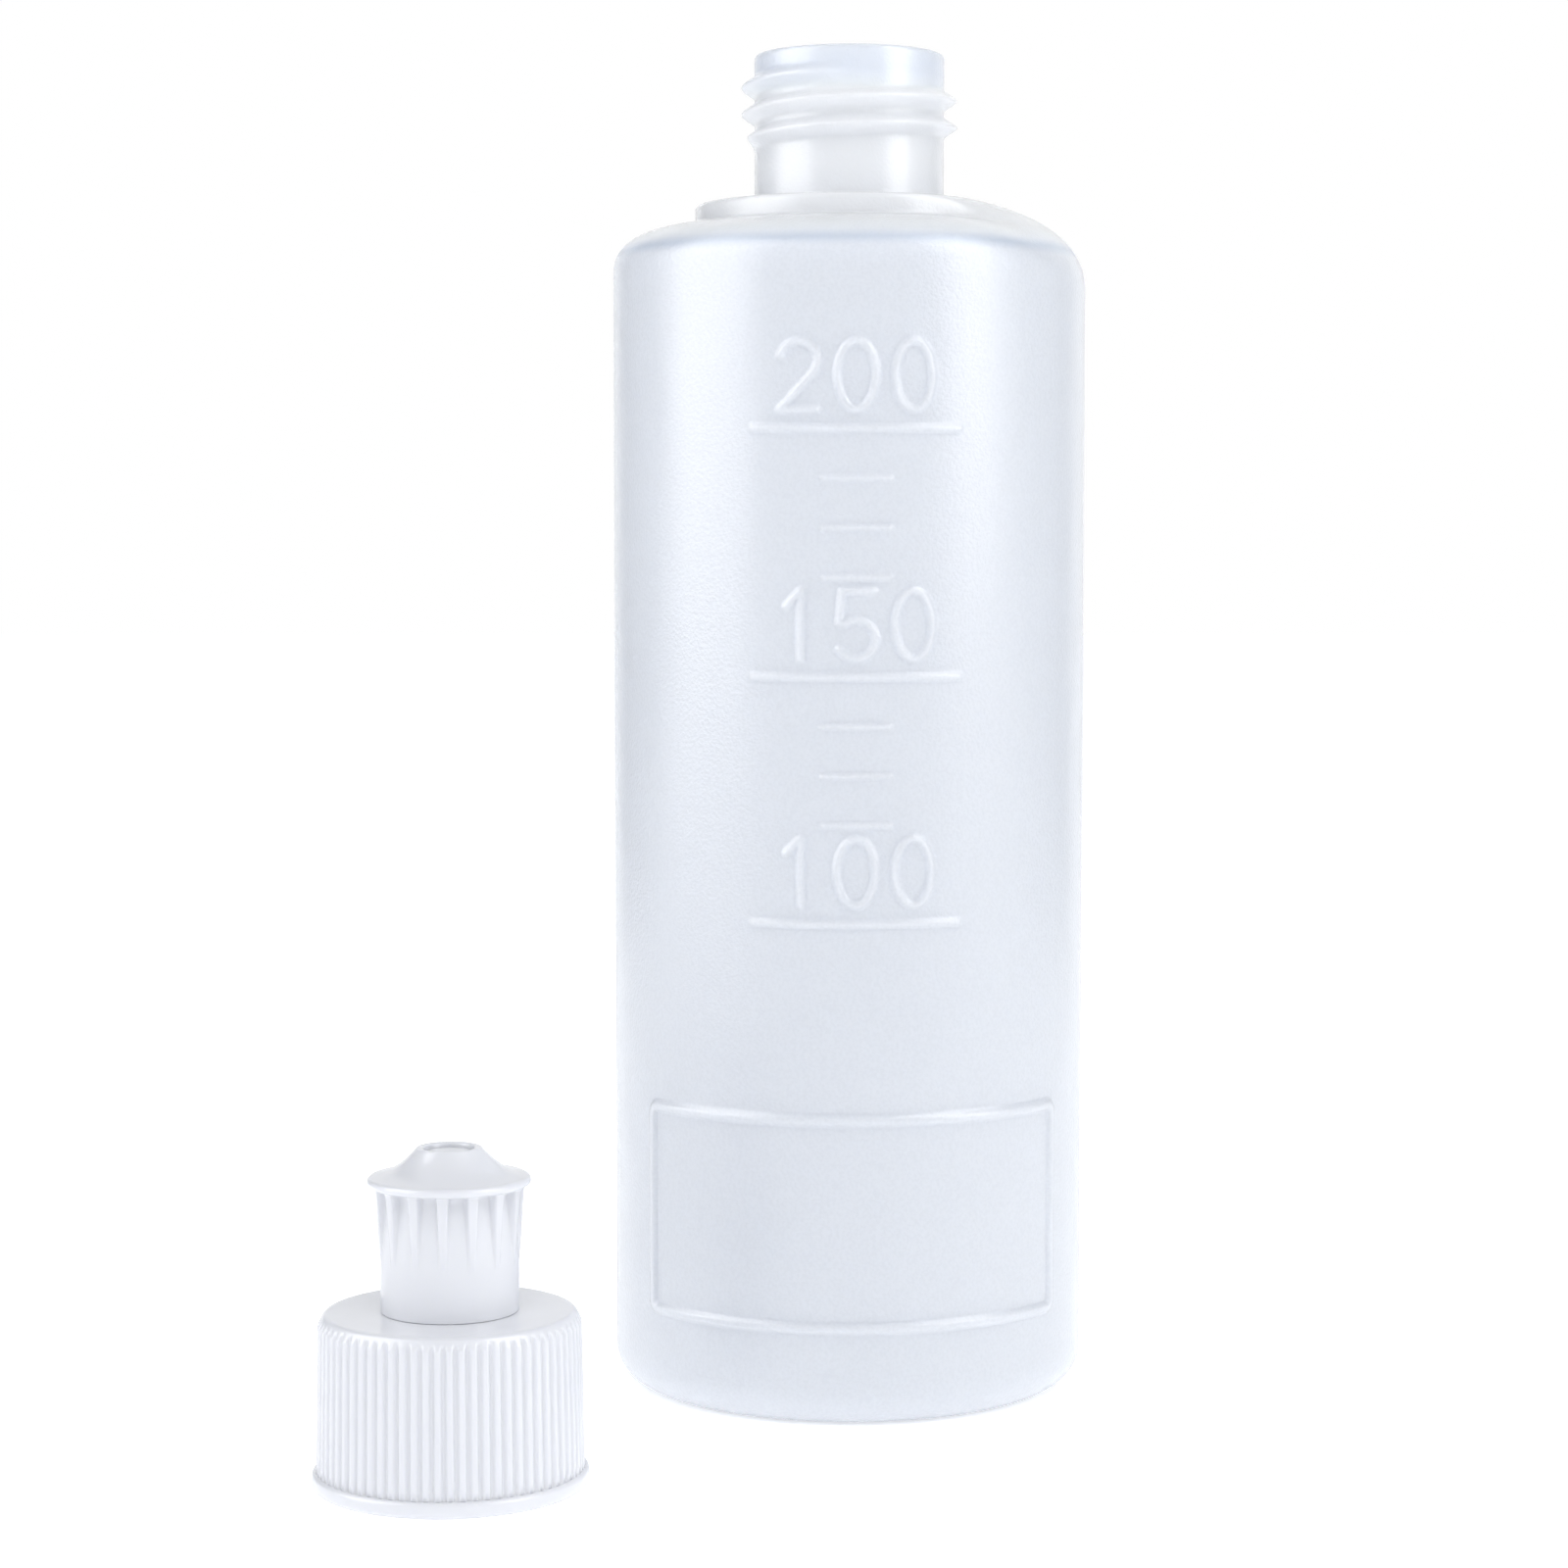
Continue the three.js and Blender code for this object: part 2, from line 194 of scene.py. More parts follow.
def naturalPolyethylene(look):
    # natural LDPE, blow moulded in a blasted mould: milky, soft highlights over a fine pebbled skin
    material = bpy.data.materials.new("natural_ldpe")
    material.use_nodes = True
    tree = material.node_tree
    tree.nodes.clear()
    place = addNode(tree, "ShaderNodeTexCoord")
    grain = addNode(tree, "ShaderNodeTexNoise",
                    {"Scale": 1 / (look["pebble"] * mm), "Detail": 2.0, "Roughness": 0.5},
                    {"Vector": place.outputs["Object"]})
    bump = addNode(tree, "ShaderNodeBump", {"Strength": 1.0, "Distance": look["pebbleDepth"] * mm},
                   {"Height": grain.outputs["Fac"]})
    height = addNode(tree, "ShaderNodeSeparateXYZ", links={0: place.outputs["Object"]})
    low, high = look["thickFrom"]
    thick = addNode(tree, "ShaderNodeMapRange", {"From Min": low * mm, "From Max": high * mm},
                    {"Value": height.outputs["Z"]})
    # painted shade in the pits: where the grain's bump is low, the colour turns to the darker pit colour
    low, high = look["pitShadeRange"]
    pitShade = addNode(tree, "ShaderNodeMapRange", {"From Min": low, "From Max": high},
                   {"Value": grain.outputs["Fac"]})
    thin = addNode(tree, "ShaderNodeMix", {"data_type": "RGBA", 6: linear(look["pitShadeColour"]),
                                           7: linear(look["colour"])},
                   {0: pitShade.outputs["Result"]})
    wall = addNode(tree, "ShaderNodeMix", {"data_type": "RGBA", 7: linear(look["thickColour"])},
                   {0: thick.outputs["Result"], 6: thin.outputs[2]})
    low, high = look["lipFrom"]
    lip = addNode(tree, "ShaderNodeMapRange", {"From Min": low * mm, "From Max": high * mm},
                  {"Value": height.outputs["Z"]})
    wall = addNode(tree, "ShaderNodeMix", {"data_type": "RGBA", 7: linear(look["lipColour"])},
                   {0: lip.outputs["Result"], 6: wall.outputs[2]})
    # painted shade: a soft dark band round the shoulder, strongest at its height and fading above and
    # below
    away = addNode(tree, "ShaderNodeMath", {"operation": "SUBTRACT", 1: look["shadeLineHeight"] * mm},
                   {0: height.outputs["Z"]})
    away = addNode(tree, "ShaderNodeMath", {"operation": "ABSOLUTE"}, {0: away.outputs[0]})
    shadeLine = addNode(tree, "ShaderNodeMapRange", {
        "From Min": look["shadeLineCore"] * mm, "From Max": look["shadeLineWidth"] / 2 * mm,
        "To Min": look["shadeLineShare"], "To Max": 0.0,
    }, {"Value": away.outputs[0]})
    colour = addNode(tree, "ShaderNodeMix", {"data_type": "RGBA", 7: linear(look["shadeLineColour"])},
                     {0: shadeLine.outputs["Result"], 6: wall.outputs[2]})
    shader = addNode(tree, "ShaderNodeBsdfPrincipled", {
        "IOR": look["ior"],
        "Transmission Weight": look["transmission"],
        "Subsurface Weight": 1.0,
        "Subsurface Radius": [r * mm for r in look["scatter"]],
        "Subsurface Scale": 1.0,
    }, {
        "Base Color": colour.outputs[2],
        "Normal": bump.outputs["Normal"],
        "Roughness": patchyRoughness(tree, place, look, look["mottle"]),
    })
    addNode(tree, "ShaderNodeOutputMaterial", links={"Surface": shader.outputs["BSDF"]})
    return material


capPlastic = {
    "colour": "#dddee2",
    "roughness": 0.24,
    "roughnessSpread": 0.04,      # handled patches are a little duller
    "ior": 1.49,
    "subsurface": 0.3,
    "scatter": (0.3, 0.3, 0.35),
    "handled": 5.0,               # size of the dull patches, mm
    "flow": 8.0,                  # slow waves that the melt leaves, mm
    "flowDepth": 0.01,
    "grain": 0.3,                 # fine scuffs, drawn as coarse as they need to be to show, mm
    "grainDepth": 0.002,
}


def whitePolypropylene(look):
    # white PP, injection moulded in a polished mould: opaque and glossy, with the melt's slow waves
    # and fine scuffs in the gloss
    material = bpy.data.materials.new("white_polypropylene")
    material.use_nodes = True
    tree = material.node_tree
    tree.nodes.clear()
    place = addNode(tree, "ShaderNodeTexCoord")
    flow = addNode(tree, "ShaderNodeTexNoise", {"Scale": 1 / (look["flow"] * mm), "Detail": 1.0},
                   {"Vector": place.outputs["Object"]})
    waves = addNode(tree, "ShaderNodeBump", {"Strength": 1.0, "Distance": look["flowDepth"] * mm},
                    {"Height": flow.outputs["Fac"]})
    grain = addNode(tree, "ShaderNodeTexNoise", {"Scale": 1 / (look["grain"] * mm), "Detail": 2.0},
                    {"Vector": place.outputs["Object"]})
    bump = addNode(tree, "ShaderNodeBump", {"Strength": 1.0, "Distance": look["grainDepth"] * mm},
                   {"Height": grain.outputs["Fac"], "Normal": waves.outputs["Normal"]})
    shader = addNode(tree, "ShaderNodeBsdfPrincipled", {
        "Base Color": linear(look["colour"]),
        "IOR": look["ior"],
        "Subsurface Weight": look["subsurface"],
        "Subsurface Radius": [r * mm for r in look["scatter"]],
        "Subsurface Scale": 1.0,
    }, {
        "Roughness": patchyRoughness(tree, place, look, look["handled"]),
        "Normal": bump.outputs["Normal"],
    })
    addNode(tree, "ShaderNodeOutputMaterial", links={"Surface": shader.outputs["BSDF"]})
    return material


ldpe = naturalPolyethylene(bottlePlastic)
polypropylene = whitePolypropylene(capPlastic)
print("materials made")


# Bottle

bottleSize = {
    "radius": 25.9,
    "wall": 1.0,
    "height": 146.1,
    "heel": 4.0,
    "standRing": 3.0,
    "pushUp": 1.6,
    "pushUpFlat": 0.75,    # share of the stand ring's radius over which the push-up stays flat
    "shoulderDrop": 5.15,
    "shoulderFall": 0.55,
    "collarRadius": 16.9,
    "collarHeight": 2.25,
    "collarEdge": 0.6,
    "collarFillet": 0.45,
    "rampSide": 90,        # degrees right of the front: there the shoulder rises to the collar's top
    "rampFull": 28,        # degrees to either side that the ramp keeps its full height
    "rampEnd": 60,         # degrees to either side at which the collar stands out again
    "rampRadius": 15.5,
    "rampFall": 2.8,
    "rampDrop": 9.3,
    "neckHeight": 16.3,
    "neckRadius": 10.4,
    "neckWall": 1.7,
    "neckFillet": 0.8,
    "mouthEdge": 0.5,
    "rowStep": 2.5,        # mesh steps on the plain wall, upwards and round it
    "columnStep": 2.0,
    "fineStep": 0.24,      # and where the scale and the panel's line stand out
}
threadSize = {
    "crest": 11.87,
    "pitch": 2.9,
    "turns": 2.3,
    "belowMouth": 2.75,
    "rootWidth": 2.3,
    "rounding": 0.45,   # 0 gives the neck's thread a sharp crest, 1 a round one
    "runOut": 40,       # degrees over which each end fades
    "start": 4,         # degrees right of the front
}
panelSize = {
    "centre": 0.7,      # degrees right of the front
    "arc": 51.4,
    "bottom": 10.1,
    "height": 23.3,
    "corner": 0.8,
    "line": 1.3,
    "relief": 0.38,
    "flank": 0.34,
    "margin": 0.2,      # fine mesh beyond the line
}
scaleSize = {
    "marks": {"100": 53.4, "150": 79.1, "200": 104.8},   # millilitres and their fill heights
    "digitHeight": 7.0,
    "digitWidth": 4.0,
    "digitGap": 2.0,
    "digitLift": 1.9,
    "stroke": 1.05,
    "relief": 0.36,
    "flank": 0.34,
    "majorTick": 22,
    "minorTick": 7,
    "minorEvery": 5.14,  # 10 ml
    "minorWidth": 0.8,   # shares of the long lines' half width and relief
    "minorRelief": 0.85,
    "lineGap": 0.5,      # the digits keep this far from their line
    "margin": 1.0,       # clear space round the digits
    "inkStep": 0.015,    # spacing of the points along a stroke, in digit heights
}


def digitStrokes():
    # monoline digits as a mould engraver's round cutter draws them, 1 high and this wide
    wide = 0.57
    half = wide / 2
    bowl = arc((half, half), half, 128, -150, 24)
    return {
        "0": [[(half + half * math.cos(t), 0.5 + 0.5 * math.sin(t))
               for t in np.linspace(0, 2 * math.pi, 41)]],
        "1": [[(0.10, 0.78), (half + 0.03, 1.0), (half + 0.03, 0.0)]],
        "2": [arc((half, 1 - half), half, 165, -38, 16) + [(0.0, 0.0), (wide, 0.0)]],
        "5": [[(wide - 0.03, 1.0), (0.08, 1.0), (0.03, wide * 0.93)] + bowl],
    }


def sampled(stroke, spacing):
    points = [stroke[0]]
    for start, end in zip(stroke[:-1], stroke[1:]):
        points += straight(start, end, spacing)
    return points


def scaleRelief(across, up):
    # height of the moulded volume scale at a distance across the front and a height up the body
    size = scaleSize
    half = size["stroke"] / 2
    relief = np.zeros(np.broadcast(across, up).shape)
    across, up = np.broadcast_arrays(across, up)
    marks = sorted(size["marks"].values())
    for level in marks:
        beyond = np.clip(np.abs(across) - size["majorTick"] / 2, 0, None)
        relief = np.maximum(relief, ridge(np.hypot(beyond, up - level), half, size["flank"]))
    digitsEnd = size["digitLift"] + size["digitHeight"] + size["margin"]
    count = round((marks[-1] - marks[0]) / size["minorEvery"])
    for i in range(count + 1):
        level = marks[0] + (marks[-1] - marks[0]) * i / count
        beyond = np.clip(np.abs(across) - size["minorTick"] / 2, 0, None)
        if not any(size["lineGap"] < level - mark < digitsEnd for mark in marks):
            tick = ridge(np.hypot(beyond, up - level), half * size["minorWidth"], size["flank"])
            relief = np.maximum(relief, tick * size["minorRelief"])
    strokes = digitStrokes()
    for label, level in size["marks"].items():
        pitch = size["digitWidth"] + size["digitGap"]
        left = -(len(label) * pitch - size["digitGap"]) / 2
        around = (np.abs(across) < size["margin"] - left) & (up > level) & (up < level + digitsEnd)
        here = np.stack([across[around], up[around]], axis=-1)
        inked = []
        for i, digit in enumerate(label):
            for stroke in strokes[digit]:
                inked += [(left + i * pitch + px * size["digitHeight"],
                           level + size["digitLift"] + py * size["digitHeight"])
                          for px, py in sampled(stroke, size["inkStep"])]
        inked = np.array(inked)
        nearest = np.full(len(here), np.inf)
        blockLength = 200   # points compared at a time, which keeps the arrays small
        for block in np.array_split(inked, max(1, len(inked) // blockLength)):
            gap = np.hypot(here[:, None, 0] - block[None, :, 0], here[:, None, 1] - block[None, :, 1])
            nearest = np.minimum(nearest, gap.min(axis=1))
        relief[around] = np.maximum(relief[around], ridge(nearest, half, size["flank"]))
    return relief * size["relief"]


def panelRelief(across, up):
    # the raised line round the name panel, a rectangle with small round corners
    size = panelSize
    halfWide = size["arc"] / 2 - size["line"] / 2 - size["corner"]
    halfHigh = size["height"] / 2 - size["line"] / 2 - size["corner"]
    middle = size["bottom"] + size["height"] / 2
    dx = np.abs(across) - halfWide
    dz = np.abs(up - middle) - halfHigh
    outside = np.hypot(np.clip(dx, 0, None), np.clip(dz, 0, None))
    gap = outside + np.minimum(np.maximum(dx, dz), 0) - size["corner"]
    return ridge(gap, size["line"] / 2, size["flank"]) * size["relief"]


def threadRelief(angles, up, top, turns, depth, rounding):
    # one right-hand thread that starts at its top, winds down to the left and fades out at both ends
    size = threadSize
    sweep = turns * 2 * math.pi
    relief = np.zeros(np.broadcast(angles, up).shape)
    for turn in range(-1, math.ceil(turns) + 1):
        back = math.radians(size["start"]) - angles + turn * 2 * math.pi
        along = (back >= 0) & (back <= sweep)
        fade = smoothStep(np.minimum(back, sweep - back) / math.radians(size["runOut"]))
        middle = top - size["pitch"] * back / (2 * math.pi)
        side = np.clip(1 - np.abs(up - middle) / (size["rootWidth"] / 2), 0, 1)
        shape = smoothStep(side) * rounding + side * (1 - rounding)
        relief = np.maximum(relief, np.where(along, fade * shape * depth, 0))
    return relief


def neckThread(angles, up):
    depth = threadSize["crest"] - bottleSize["neckRadius"]
    top = bottleSize["height"] - threadSize["belowMouth"]
    return threadRelief(angles, up, top, threadSize["turns"], depth, threadSize["rounding"])


def shoulderLines():
    # from the wall up to the foot of the neck: over the collar, and over the ramp beside it
    size = bottleSize
    collarTop = size["height"] - size["neckHeight"]
    collarBase = collarTop - size["collarHeight"]
    overCollar = [(size["radius"], collarBase - size["shoulderDrop"])]
    fillet = size["collarFillet"]
    overCollar += bend(overCollar[-1], (size["radius"], collarBase - size["shoulderFall"]),
                       (size["collarRadius"] + fillet, collarBase), 20)
    overCollar += bend(overCollar[-1], (size["collarRadius"], collarBase),
                       (size["collarRadius"], collarBase + fillet), 4)
    overCollar += straight(overCollar[-1], (size["collarRadius"], collarTop - size["collarEdge"]), 0.3)
    overCollar += arc((size["collarRadius"] - size["collarEdge"], collarTop - size["collarEdge"]),
                      size["collarEdge"], 0, 90, 6)[1:]
    start = (size["radius"], collarTop - size["rampDrop"])
    control = (size["radius"], collarTop - size["rampFall"])
    overRamp = [start] + bend(start, control, (size["rampRadius"], collarTop), len(overCollar) - 1)
    return overCollar, overRamp


def rampShare(angles):
    # 1 where the ramp is full, 0 where the collar stands out
    size = bottleSize
    away = np.abs((np.degrees(angles) - size["rampSide"] + 180) % 360 - 180)
    return 1 - smoothStep((away - size["rampFull"]) / (size["rampEnd"] - size["rampFull"]))


def bottleOutline():
    # outside from the middle of the base up to the wall, then from the foot of the neck over the
    # mouth and back down the inside
    size = bottleSize
    collarTop = size["height"] - size["neckHeight"]
    collarBase = collarTop - size["collarHeight"]
    straightTop = collarBase - size["shoulderDrop"]
    wallTop = collarTop - size["rampDrop"]
    standOuter = size["radius"] - size["heel"]
    standInner = standOuter - size["standRing"]
    base = [(0, size["pushUp"])]
    flat = standInner * size["pushUpFlat"]
    base += bend(base[-1], (flat, size["pushUp"]), (standInner, 0), 12)
    base += straight(base[-1], (standOuter, 0), 1)
    base += arc((standOuter, size["heel"]), size["heel"], -90, 0, 16)[1:]
    marks = scaleSize["marks"].values()
    scaleLow = min(marks) - scaleSize["margin"]
    scaleHigh = max(marks) + scaleSize["digitLift"] + scaleSize["digitHeight"] + scaleSize["margin"]
    panelTop = panelSize["bottom"] + panelSize["height"]
    rim = panelSize["line"] + panelSize["corner"]
    margin = panelSize["margin"]
    zones = [(panelSize["bottom"] - margin, panelSize["bottom"] + rim),
             (panelTop - rim, panelTop + margin), (scaleLow, scaleHigh)]
    rises = levels(size["heel"], wallTop, size["rowStep"], size["fineStep"], zones)
    wall = [(size["radius"], z) for z in rises[1:-1]]
    fillet = size["neckFillet"]
    neck = [(size["neckRadius"] + fillet, collarTop)]
    neck += arc((size["neckRadius"] + fillet, collarTop + fillet), fillet, 270, 180, 5)[1:]
    edge = size["mouthEdge"]
    neck += straight(neck[-1], (size["neckRadius"], size["height"] - edge), 0.2)
    neck += arc((size["neckRadius"] - edge, size["height"] - edge), edge, 0, 90, 5)[1:]
    bore = size["neckRadius"] - size["neckWall"]
    inside = [(bore + edge / 2, size["height"])]
    inside += bend(inside[-1], (bore, size["height"]), (bore, size["height"] - edge), 3)
    innerRadius = size["radius"] - size["wall"]
    innerHeel = size["heel"] - size["wall"]
    innerShoulder = collarBase - size["wall"]
    inside += straight(inside[-1], (bore, innerShoulder), 2)
    inside += bend(inside[-1], (innerRadius, innerShoulder - size["shoulderFall"]),
                   (innerRadius, straightTop - size["wall"]), 16)
    inside += straight(inside[-1], (innerRadius, size["wall"] + innerHeel), 6)
    inside += arc((innerRadius - innerHeel, size["wall"] + innerHeel), innerHeel, 0, -90, 8)[1:]
    inside += straight(inside[-1], (standInner, size["wall"]), 1.5)
    floor = size["pushUp"] + size["wall"]
    inside += bend(inside[-1], (flat, floor), (0, floor), 8)
    return base, wall, neck, inside


def bottleColumns():
    # columns round the body, closer together where the scale and the panel's upright lines are
    size = bottleSize
    scaleHalf = scaleSize["majorTick"] / 2 + scaleSize["margin"]
    edge = panelSize["arc"] / 2
    rim = panelSize["line"] + panelSize["corner"]
    margin = panelSize["margin"]
    zones = [(-edge - margin, -edge + rim), (-scaleHalf, scaleHalf), (edge - rim, edge + margin)]
    halfRound = math.pi * size["radius"]
    places = np.array(levels(-halfRound, halfRound, size["columnStep"], size["fineStep"], zones)[:-1])
    return math.radians(panelSize["centre"]) + places / size["radius"]


def makeBottle():
    centre = axisOf("bottle")
    base, wall, neck, inside = bottleOutline()
    overCollar, overRamp = [np.array(line) for line in shoulderLines()]
    angles = bottleColumns()
    columns = len(angles)
    across = (angles - math.radians(panelSize["centre"])) * bottleSize["radius"]

    def turned(line):
        return np.repeat(np.array(line)[:, :, None], columns, axis=2)

    wallPart, neckPart = turned(wall), turned(neck)
    up = wallPart[:, 1]
    wallPart[:, 0] += panelRelief(across[None, :], up) + scaleRelief(across[None, :], up)
    threaded = np.isclose(neckPart[:, 0], bottleSize["neckRadius"])
    neckPart[:, 0] += np.where(threaded, neckThread(angles[None, :], neckPart[:, 1]), 0)
    share = rampShare(angles)
    shoulder = overCollar[:, :, None] * (1 - share) + overRamp[:, :, None] * share
    parts = np.concatenate([turned(base), wallPart, shoulder, neckPart, turned(inside)])
    radii, heights = parts[:, 0], parts[:, 1]
    piece = turnedMesh("bottle_wall", centre, radii, heights, angles)
    piece.data.materials.append(ldpe)
    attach(piece, "bottle_and_cap")
    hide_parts("bottle")
    print("bottle made:", len(piece.data.polygons), "faces")


makeBottle()

# Screw cap

capSize = {
    "height": 17.3,
    "deck": 1.5,
    "deckEdge": 0.7,
    "mouthChamfer": (0.3, 0.5),    # across and up
    "flangeRadius": 13.72,
    "flangeHeight": 1.6,
    "flangeEdge": 0.45,
    "skirtBottom": 13.28,
    "skirtTop": 13.02,
    "ribs": 70,
    "ribRelief": 0.35,
    "ribCrest": 0.86,      # share of the pitch at which a rib meets the groove
    "ribFlank": 0.5,
    "ribEnd": 0.35,        # the ribs die out this far under the deck
    "ribRunOut": 1.0,
    "ribFine": 0.6,        # closer mesh rows under the deck, where the ribs die out
    "columnsPerRib": 10,
    "socket": 12.12,
    "threadInner": 10.65,
    "threadTurns": 2.0,
    "sealLength": 2.0,
    "sealWall": 0.8,
    "sealOuter": 8.4,
    "sealDraft": 0.1,      # the seal ring thins by this on each side
    "sealRound": 0.2,
    "towerRadius": 4.7,
    "towerWall": 1.0,
    "towerFoot": 0.3,      # chamfer where the tower stands on the deck
    "beadRelief": 0.5,
    "beadBottom": 24.1,
    "beadHeight": 1.2,
    "beadLow": 0.5,        # the bead is full from here above its bottom
    "beadHigh": 0.2,       # to here below its top
    "towerLip": 0.6,
    "lipEdge": (0.25, 0.2),    # drawn in on the outside and on the inside
}
plugSize = {
    "stem": 1.3,
    "stemEdge": 0.2,
    "radius": 2.2,
    "length": 1.9,
    "coneLength": 0.9,     # the stem widens to the plug over this length
    "coneCurve": 0.4,
    "edge": 0.3,
    "top": 33.2,
    "columns": 64,
    "webs": 3,
    "webThickness": 0.8,
    "webHeight": 3.5,
    "webReach": 0.7,       # share of the tower's wall that the webs run into
    "webLift": 0.2,
    "webEdge": 0.12,
}


def capOutline():
    # round the wall once: tower bore, seal ring, socket, flange, skirt, deck and tower
    size = capSize
    ceiling = size["height"] - size["deck"]
    bore = size["towerRadius"] - size["towerWall"]
    towerTop = size["beadBottom"] + size["beadHeight"] + size["towerLip"]
    sealInner = size["sealOuter"] - size["sealWall"]
    sealEnd = ceiling - size["sealLength"]
    draft, rounding = size["sealDraft"], size["sealRound"]
    points = [(bore, towerTop)]
    points += straight(points[-1], (bore, ceiling), 3)
    points += straight(points[-1], (sealInner, ceiling), 2)
    points += straight(points[-1], (sealInner + draft, sealEnd + rounding), 1)
    points += bend(points[-1], (sealInner + size["sealWall"] / 2, sealEnd - draft),
                   (size["sealOuter"] - draft, sealEnd + rounding), 4)
    points += straight(points[-1], (size["sealOuter"], ceiling), 1)
    points += straight(points[-1], (size["socket"], ceiling), 2)
    chamferAcross, chamferUp = size["mouthChamfer"]
    points += straight(points[-1], (size["socket"], chamferUp), 0.3)
    points += straight(points[-1], (size["socket"] + chamferAcross, 0), 1)
    edge = size["flangeEdge"]
    flat = size["flangeRadius"] - edge
    points += straight(points[-1], (flat, 0), 1)
    points += arc((flat, edge), edge, -90, 0, 4)[1:]
    points += straight(points[-1], (size["flangeRadius"], size["flangeHeight"] - edge), 0.6)
    points += arc((flat, size["flangeHeight"] - edge), edge, 0, 90, 4)[1:]
    foot = size["skirtBottom"] - size["ribRelief"]
    points += straight(points[-1], (foot, size["flangeHeight"]), 1)
    topFoot = size["skirtTop"] - size["ribRelief"]
    edge = size["deckEdge"]
    edgeLow = size["height"] - edge
    points += straight(points[-1], (topFoot, edgeLow - size["ribFine"]), 1.2)
    points += straight(points[-1], (topFoot, edgeLow), 0.15)
    points += arc((topFoot - edge, edgeLow), edge, 0, 90, 7)[1:]
    points += straight(points[-1], (size["towerRadius"] + size["towerFoot"], size["height"]), 2.5)
    points += straight(points[-1], (size["towerRadius"], size["height"] + size["towerFoot"]), 1)
    points += straight(points[-1], (size["towerRadius"], size["beadBottom"]), 3)
    bead = size["towerRadius"] + size["beadRelief"]
    beadBottom = size["beadBottom"]
    beadTop = beadBottom + size["beadHeight"]
    points += bend(points[-1], (bead, beadBottom), (bead, beadBottom + size["beadLow"]), 4)
    points += bend(points[-1], (bead, beadTop - size["beadHigh"]), (size["towerRadius"], beadTop), 4)
    outside, inside = size["lipEdge"]
    points += straight(points[-1], (size["towerRadius"] - outside, towerTop), 1)
    points += straight(points[-1], (bore + inside, towerTop), 1)
    return points


def socketThread(angles, up):
    # half a pitch below the neck's thread when the cap is screwed home, and with a sharp crest
    size = capSize
    top = size["height"] - size["deck"] - threadSize["belowMouth"] - threadSize["pitch"] / 2
    return threadRelief(angles, up, top, size["threadTurns"], size["socket"] - size["threadInner"], 0)


def makeCap():
    size = capSize
    centre = axisOf("screw_cap")
    columns = size["ribs"] * size["columnsPerRib"]
    angles = np.arange(columns) * 2 * math.pi / columns
    outline = np.array(capOutline())
    radii = np.repeat(outline[:, :1], columns, axis=1)
    heights = outline[:, 1:2]
    # ribs with round crests that end in the rounded edge of the deck
    chamferEnd = size["socket"] + size["mouthChamfer"][0]
    skirt = (outline[:, 0] > chamferEnd + near) & (outline[:, 1] >= size["flangeHeight"] - tolerance)
    skirt &= outline[:, 0] < size["skirtBottom"] - size["ribRelief"] + near
    pitch = 2 * math.pi / size["ribs"]
    phase = np.abs((angles / pitch + 0.5) % 1 - 0.5) * 2
    rib = smoothStep((size["ribCrest"] - phase) / size["ribFlank"])
    endFade = smoothStep((size["height"] - size["ribEnd"] - heights[skirt]) / size["ribRunOut"])
    radii[skirt] += size["ribRelief"] * rib[None, :] * endFade
    ceiling = size["height"] - size["deck"]
    socket = np.isclose(outline[:, 0], size["socket"]) & (outline[:, 1] < ceiling - near)
    radii[socket] -= socketThread(angles[None, :], heights[socket])
    piece = turnedMesh("cap_wall", centre, radii, heights, angles, closedLoop=True)
    piece.data.materials.append(polypropylene)
    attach(piece, "bottle_and_cap")
    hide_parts("screw_cap")
    print("cap made:", len(piece.data.polygons), "faces")


def makePlug():
    # the plug that closes the spout, on its stem and webs inside the tower
    size = plugSize
    centre = axisOf("screw_cap")
    towerTop = capSize["beadBottom"] + capSize["beadHeight"] + capSize["towerLip"]
    bottom = towerTop - size["webHeight"]
    plugBottom = size["top"] - size["length"]
    stem, top, radius = size["stem"], size["top"], size["radius"]
    points = [(0, bottom), (stem - size["stemEdge"], bottom)]
    points += bend(points[-1], (stem, bottom), (stem, bottom + size["stemEdge"]), 3)
    points += straight(points[-1], (stem, plugBottom - size["coneLength"]), 2)
    points += bend(points[-1], (stem, plugBottom - size["coneCurve"]), (radius, plugBottom), 5)
    points += straight(points[-1], (radius, top - size["edge"]), 0.8)
    points += bend(points[-1], (radius, top), (radius - size["edge"], top), 4)
    points += straight(points[-1], (0.0, top), 1)
    outline = np.array(points)
    angles = np.arange(size["columns"]) * 2 * math.pi / size["columns"]
    radii = np.repeat(outline[:, :1], size["columns"], axis=1)
    plug = turnedMesh("cap_plug", centre, radii, outline[:, 1:2], angles)
    plug.data.materials.append(polypropylene)
    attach(plug, "bottle_and_cap")
    reach = capSize["towerRadius"] - capSize["towerWall"] * size["webReach"]
    height = size["webHeight"] - capSize["towerLip"]
    middle = bottom + size["webLift"] + height / 2
    for web in range(size["webs"]):
        turn = web * 2 * math.pi / size["webs"]
        mesh = bpy.data.meshes.new("cap_web_%d" % (web + 1))
        blade = bmesh.new()
        bmesh.ops.create_cube(blade, size=1)
        bmesh.ops.scale(blade, vec=(reach * mm, size["webThickness"] * mm, height * mm),
                        verts=blade.verts)
        bmesh.ops.translate(blade, vec=(reach / 2 * mm, 0, middle * mm), verts=blade.verts)
        bmesh.ops.bevel(blade, geom=blade.edges, offset=size["webEdge"] * mm, segments=2,
                        affect="EDGES")
        blade.to_mesh(mesh)
        blade.free()
        piece = bpy.data.objects.new(mesh.name, mesh)
        bpy.context.scene.collection.objects.link(piece)
        piece.location = (centre[0], centre[1], 0)
        piece.rotation_euler = (0, 0, turn)
        piece.data.materials.append(polypropylene)
        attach(piece, "bottle_and_cap")
    print("plug made")


makeCap()
makePlug()

# Pull spout

